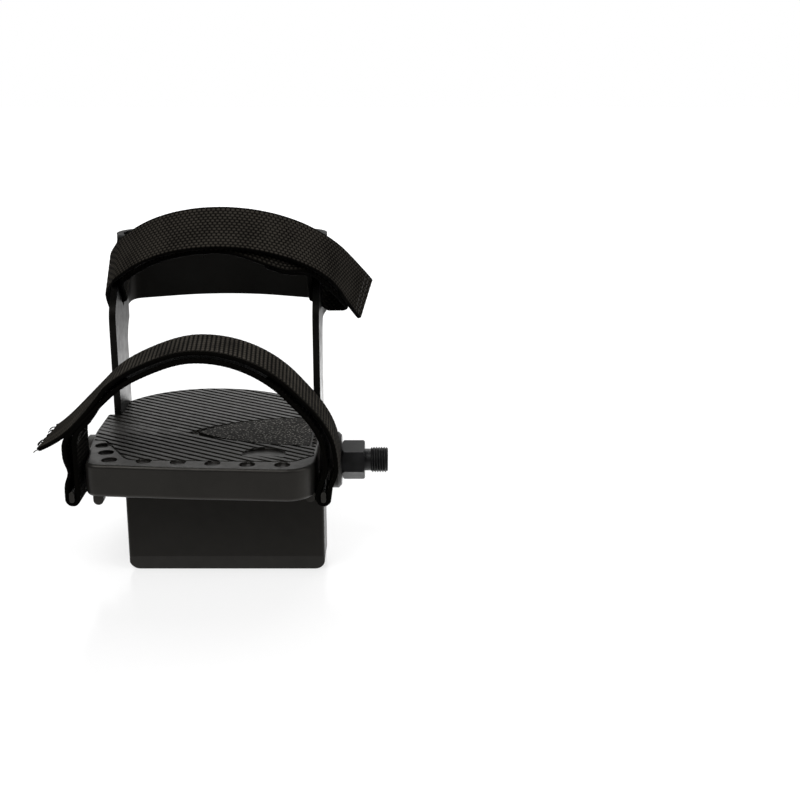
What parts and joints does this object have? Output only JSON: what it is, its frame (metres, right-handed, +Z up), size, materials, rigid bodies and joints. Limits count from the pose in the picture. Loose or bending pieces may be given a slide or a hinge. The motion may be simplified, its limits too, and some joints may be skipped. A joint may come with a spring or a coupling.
{
  "type": "exercise bike pedal",
  "caption": "Foot-shaped exercise bike pedal with ribbed tread, weighted box underneath, tall heel cup, webbing toe and ankle straps, and a threaded spindle it turns on.",
  "frame": {"origin": "on the spindle axis, where the thread that goes into the crank begins", "axes": "+X along the spindle towards the crank, +Y from the toe edge to the heel, +Z up from the tread"},
  "size_m": [0.1631, 0.1572, 0.1668],
  "materials": {
    "platform_plastic": "satin black moulding",
    "housing_plastic": "matt black moulding",
    "cup_plastic": "satin black moulding",
    "webbing": "woven black webbing",
    "tape": "black hook and loop tape",
    "black_steel": "black finished steel",
    "plain_steel": "plain steel",
    "bush_plastic": "natural bearing plastic",
    "seal_rubber": "black rubber",
    "weight_iron": "rough iron"
  },
  "bodies": {
    "pedal": {"platform": "platform_plastic", "counterweight_housing": "housing_plastic", "counterweight": "weight_iron", "housing_screws": "plain_steel", "inner_bush": "bush_plastic", "outer_bush": "bush_plastic", "dust_cap": "platform_plastic", "bearing_cover": "housing_plastic", "dust_seal": "seal_rubber", "heel_cup": "cup_plastic", "heel_cup_bolts": "plain_steel", "heel_cup_washers": "plain_steel", "heel_cup_nuts": "plain_steel", "toe_strap": "webbing", "toe_strap_hook_tape": "tape", "toe_strap_loop_tape": "tape", "ankle_strap": "webbing", "ankle_strap_hook_tape": "tape", "ankle_strap_loop_tape": "tape"},
    "spindle": {"spindle": "black_steel", "thrust_washer": "plain_steel", "lock_washer": "plain_steel", "locknut": "plain_steel"}
  },
  "joints": [
    {"name": "spindle_turn", "type": "hinge", "parent": "pedal", "child": "spindle", "pos_m": [0, 0, 0], "axis": [1, 0, 0], "continuous": true}
  ]
}
